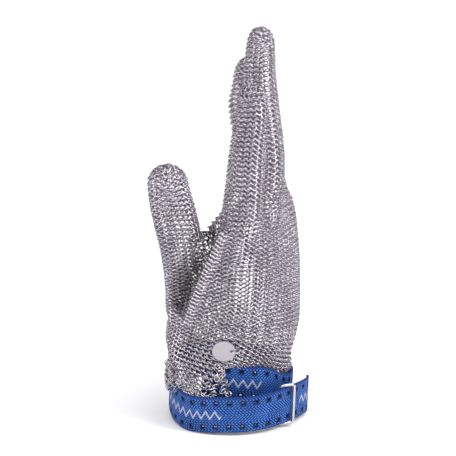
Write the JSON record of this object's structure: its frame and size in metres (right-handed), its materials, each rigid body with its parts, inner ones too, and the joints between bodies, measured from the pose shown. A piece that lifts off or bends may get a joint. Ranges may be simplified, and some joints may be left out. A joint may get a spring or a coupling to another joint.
{
  "type": "chainmail glove",
  "caption": "Cut-resistant glove of fine steel ring mail for a right hand, with a woven wrist strap, wire slide and plain size disc.",
  "frame": {"origin": "middle of the wrist opening, at the cuff", "axes": "+Z along the fingers, -X the thumb side, +Y the palm side, -Y the back of the hand"},
  "size_m": [0.1005, 0.0781, 0.2211],
  "materials": {
    "mail_steel": "bright welded stainless rings",
    "strap_webbing": "woven nylon webbing in herringbone",
    "slide_wire": "drawn steel wire",
    "tag_steel": "matt stamped disc"
  },
  "bodies": {
    "root": {"hand_mail": "mail_steel", "thumb_mail": "mail_steel", "index_mail": "mail_steel", "middle_mail": "mail_steel", "ring_mail": "mail_steel", "little_mail": "mail_steel", "strap": "strap_webbing", "slide": "slide_wire", "tag": "tag_steel", "tag_ring": "slide_wire"}
  },
  "joints": []
}
